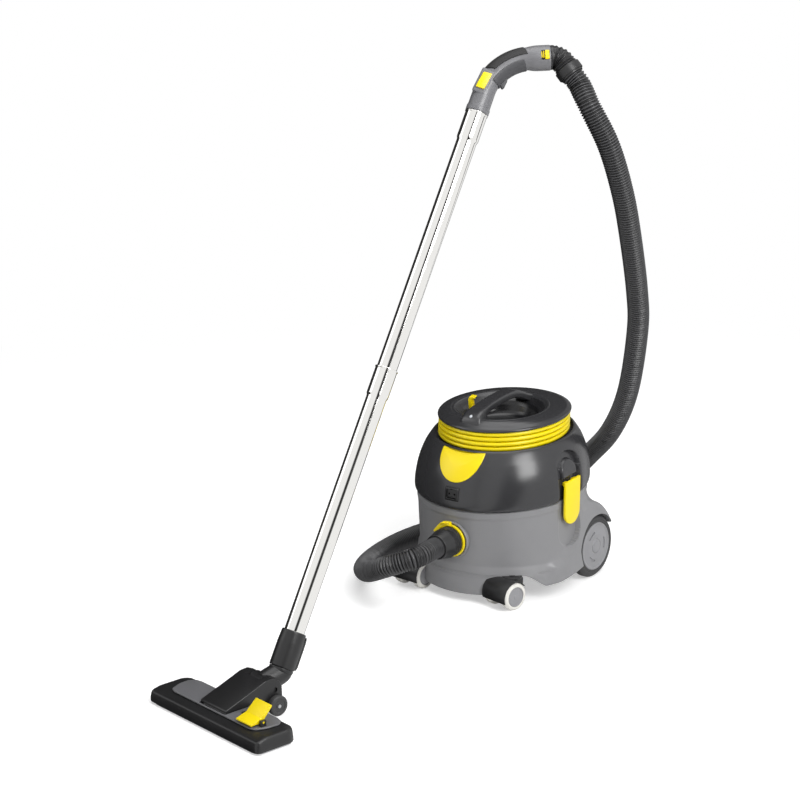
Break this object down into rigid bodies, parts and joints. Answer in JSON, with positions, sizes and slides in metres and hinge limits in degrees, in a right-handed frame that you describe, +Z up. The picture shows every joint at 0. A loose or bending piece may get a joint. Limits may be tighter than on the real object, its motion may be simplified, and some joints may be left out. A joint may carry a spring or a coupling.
{
  "type": "canister vacuum cleaner",
  "caption": "Round tub vacuum cleaner for commercial floors with lift-off head, ribbed hose, bent handle, chromed wand and floor tool.",
  "frame": {"origin": "on the floor, under the middle of the bounding box of everything but the hose and the mains cable with its plug", "axes": "+Z up; -Y is the front, where the floor tool stands; the tub stands at +Y with its inlet facing -Y; +X is the machine's right"},
  "size_m": [0.5217, 1.0734, 0.9668],
  "materials": {
    "tub_grey": "satin mid grey moulding",
    "head_grey": "satin anthracite moulding",
    "light_grey": "light grey moulding",
    "charcoal": "near-black moulding",
    "black": "black moulding",
    "yellow": "signal yellow moulding",
    "caster_white": "off-white wheel",
    "tyre": "soft dark tread",
    "steel_tube": "polished chromed tube",
    "pin_steel": "plain steel",
    "hose_vinyl": "ribbed satin vinyl",
    "cable_jacket": "yellow rubber cable jacket",
    "filter_cloth": "filter fleece",
    "bristle": "black bristles",
    "lens": "small dark blue lens",
    "seal_rubber": "soft seal"
  },
  "bodies": {
    "base": {"container": "tub_grey", "inlet_flange": "tub_grey", "hose_coupling": "black", "hose": "hose_vinyl", "handle_shell": "light_grey", "grip_top": "charcoal", "grip_lower": "charcoal", "handle_elbow": "black", "wand_tube_lower": "steel_tube", "wand_tube_upper": "steel_tube", "tool_sleeve": "charcoal", "filter_basket": "filter_cloth", "dust_bag": "filter_cloth", "axle_stub_right": "pin_steel", "axle_stub_left": "pin_steel"},
    "head": {"head_shell": "head_grey", "head_base": "black", "head_seal": "seal_rubber", "motor_unit": "black", "exhaust_filter": "filter_cloth", "cable_drum": "head_grey", "cable_inner_layers": "cable_jacket", "mains_cable": "cable_jacket", "mains_plug": "black", "top_cap": "head_grey", "carry_handle": "head_grey", "status_lens": "lens", "socket_frame": "black", "socket_insert": "black"},
    "power_button": {"power_button": "yellow"},
    "latch_right": {"latch_right": "yellow"},
    "latch_left": {"latch_left": "yellow"},
    "cable_hook": {"cable_hook": "yellow"},
    "bayonet_ring": {"bayonet_ring": "yellow"},
    "wheel_right": {"rear_tyre_right": "tyre", "rear_wheel_right": "light_grey"},
    "wheel_left": {"rear_tyre_left": "tyre", "rear_wheel_left": "light_grey"},
    "fork_right": {"caster_fork_right": "charcoal"},
    "fork_left": {"caster_fork_left": "charcoal"},
    "caster_right_a": {"caster_wheel_right_a": "caster_white"},
    "caster_right_b": {"caster_wheel_right_b": "caster_white"},
    "caster_left_a": {"caster_wheel_left_a": "caster_white"},
    "caster_left_b": {"caster_wheel_left_b": "caster_white"},
    "regulator": {"regulator_slide": "yellow"},
    "lock_button": {"lock_button": "yellow"},
    "swivel_ring": {"swivel_ring": "charcoal"},
    "clip": {"neck_clip": "charcoal"},
    "neck": {"tool_neck": "charcoal"},
    "hood": {"tool_hood": "charcoal", "tool_roller_axle": "pin_steel"},
    "tool": {"tool_base": "charcoal", "tool_sole": "pin_steel", "tool_plate": "light_grey"},
    "pedal": {"tool_pedal": "yellow"},
    "brush_front": {"tool_brush_front": "bristle"},
    "brush_rear": {"tool_brush_rear": "bristle"},
    "roller_right": {"tool_roller_right": "black"},
    "roller_left": {"tool_roller_left": "black"}
  },
  "joints": [
    {"name": "head_lift", "type": "slide", "parent": "base", "child": "head", "axis": [0, 0, 1], "range_m": [0, 0.12]},
    {"name": "power_press", "type": "slide", "parent": "head", "child": "power_button", "axis": [0, 0.9981, 0.0609], "range_m": [0, 0.003], "stiffness_N_per_m": 400, "springref_m": -0.002},
    {"name": "latch_right_swing", "type": "hinge", "parent": "head", "child": "latch_right", "pos_m": [0.12022, 0.33653, 0.20139], "axis": [0, -0.9981, -0.0609], "range_deg": [0, 70]},
    {"name": "latch_left_swing", "type": "hinge", "parent": "head", "child": "latch_left", "pos_m": [-0.17478, 0.33653, 0.20139], "axis": [0, 0.9981, 0.0609], "range_deg": [0, 70]},
    {"name": "hook_turn", "type": "hinge", "parent": "head", "child": "cable_hook", "pos_m": [-0.06728, 0.33608, 0.27796], "axis": [0, -0.0609, 0.9981], "range_deg": [-30, 150]},
    {"name": "bayonet_turn", "type": "hinge", "parent": "base", "child": "bayonet_ring", "pos_m": [-0.02728, 0.18965, 0.11], "axis": [0, -1, 0], "range_deg": [0, 30]},
    {"name": "wheel_right_spin", "type": "hinge", "parent": "base", "child": "wheel_right", "pos_m": [0.09552, 0.42315, 0.057], "axis": [1, 0, 0], "continuous": true},
    {"name": "wheel_left_spin", "type": "hinge", "parent": "base", "child": "wheel_left", "pos_m": [-0.15008, 0.42315, 0.057], "axis": [1, 0, 0], "continuous": true},
    {"name": "fork_right_swivel", "type": "hinge", "parent": "base", "child": "fork_right", "pos_m": [0.07052, 0.22985, 0.0522], "axis": [0, 0, 1], "continuous": true},
    {"name": "fork_left_swivel", "type": "hinge", "parent": "base", "child": "fork_left", "pos_m": [-0.12508, 0.22985, 0.0522], "axis": [0, 0, 1], "continuous": true},
    {"name": "caster_right_a_spin", "type": "hinge", "parent": "fork_right", "child": "caster_right_a", "pos_m": [0.08791, 0.20736, 0.0245], "axis": [0.9744, -0.225, 0], "continuous": true},
    {"name": "caster_right_b_spin", "type": "hinge", "parent": "fork_right", "child": "caster_right_b", "pos_m": [0.04504, 0.21726, 0.0245], "axis": [0.9744, -0.225, 0], "continuous": true},
    {"name": "caster_left_a_spin", "type": "hinge", "parent": "fork_left", "child": "caster_left_a", "pos_m": [-0.14884, 0.21425, 0.0245], "axis": [0.9945, -0.1045, 0], "continuous": true},
    {"name": "caster_left_b_spin", "type": "hinge", "parent": "fork_left", "child": "caster_left_b", "pos_m": [-0.10508, 0.20965, 0.0245], "axis": [0.9945, -0.1045, 0], "continuous": true},
    {"name": "regulator_shift", "type": "slide", "parent": "base", "child": "regulator", "axis": [0.1526, 0.565, 0.8108], "range_m": [-0.006, 0.003]},
    {"name": "lock_press", "type": "slide", "parent": "base", "child": "lock_button", "axis": [-0.5582, 0.7263, -0.4011], "range_m": [0, 0.002], "stiffness_N_per_m": 400, "springref_m": -0.002},
    {"name": "hose_swivel", "type": "hinge", "parent": "base", "child": "swivel_ring", "pos_m": [0.16811, 0.27982, 0.91772], "axis": [0.6484, 0.0803, -0.757], "continuous": true},
    {"name": "clip_press", "type": "hinge", "parent": "base", "child": "clip", "pos_m": [0.01225, -0.27868, 0.07901], "axis": [0.9949, -0.101, 0], "range_deg": [0, 4], "stiffness_Nm_per_rad": 0.2, "springref_deg": -5.73},
    {"name": "neck_swivel", "type": "hinge", "parent": "base", "child": "neck", "pos_m": [0.0082, -0.31864, 0.0565], "axis": [0.0521, 0.5131, 0.8567], "range_deg": [-60, 60]},
    {"name": "hood_tilt", "type": "hinge", "parent": "neck", "child": "hood", "pos_m": [-0.00005, -0.35684, 0.04], "axis": [0.9751, -0.2215, 0], "range_deg": [-15, 20]},
    {"name": "tool_tilt", "type": "hinge", "parent": "hood", "child": "tool", "pos_m": [-0.01866, -0.43875, 0.0195], "axis": [-0.9751, 0.2215, 0], "range_deg": [0, 10]},
    {"name": "pedal_rock", "type": "hinge", "parent": "tool", "child": "pedal", "pos_m": [0.06489, -0.45466, 0.0345], "axis": [-0.9751, 0.2215, 0], "range_deg": [0, 10]},
    {"name": "brush_front_drop", "type": "slide", "parent": "tool", "child": "brush_front", "axis": [0, 0, -1], "range_m": [0, 0.004]},
    {"name": "brush_rear_drop", "type": "slide", "parent": "tool", "child": "brush_rear", "axis": [0, 0, -1], "range_m": [0, 0.004]},
    {"name": "roller_right_spin", "type": "hinge", "parent": "hood", "child": "roller_right", "pos_m": [0.03191, -0.36512, 0.0165], "axis": [0.9751, -0.2215, 0], "continuous": true},
    {"name": "roller_left_spin", "type": "hinge", "parent": "hood", "child": "roller_left", "pos_m": [-0.03245, -0.3505, 0.0165], "axis": [0.9751, -0.2215, 0], "continuous": true}
  ],
  "couplings": [
    {"joint": "brush_front_drop", "follows": "pedal_rock", "m_per_rad": 0.0229},
    {"joint": "brush_rear_drop", "follows": "pedal_rock", "m_per_rad": 0.0229}
  ]
}
